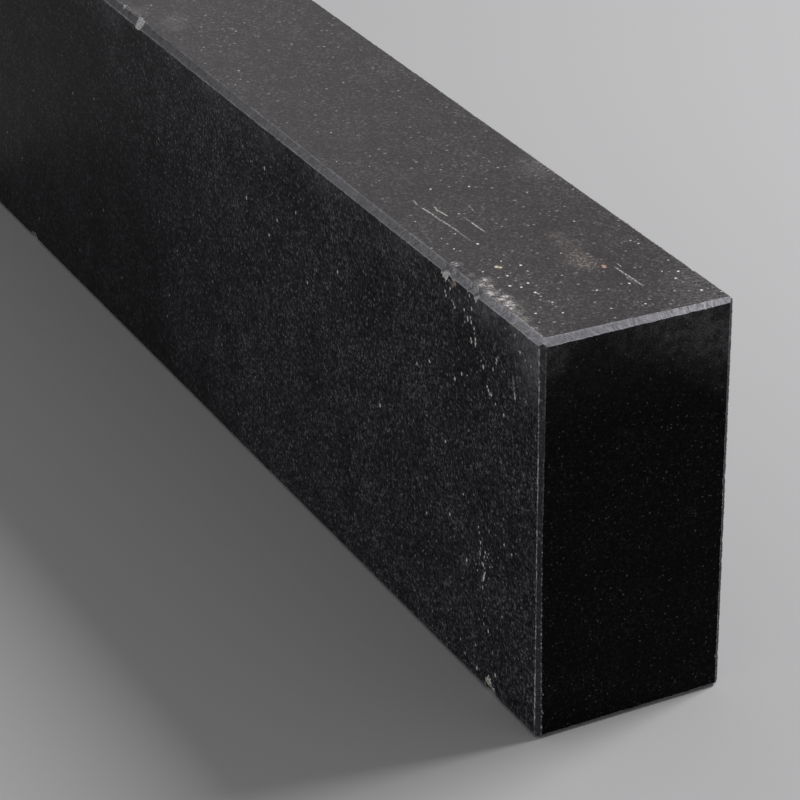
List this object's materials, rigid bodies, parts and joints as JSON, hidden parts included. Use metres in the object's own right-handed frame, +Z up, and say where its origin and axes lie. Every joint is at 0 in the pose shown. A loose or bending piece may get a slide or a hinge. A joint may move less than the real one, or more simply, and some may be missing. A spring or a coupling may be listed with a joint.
{
  "type": "granite curb",
  "caption": "Straight granite curb stone: a sawn and polished black bar of upright oblong section with ground, mitred arrises, set on its narrow bed along a path or a planted edge.",
  "frame": {"origin": "middle of the bed, the narrow face that the stone rests on", "axes": "+X along the length, +Y across the width from front to back, +Z up from the bed to the top"},
  "size_m": [0.7, 0.097, 0.2],
  "materials": {
    "polished_stone": "polished, ground arrises"
  },
  "bodies": {
    "root": {"curb_stone": "polished_stone"}
  },
  "joints": []
}
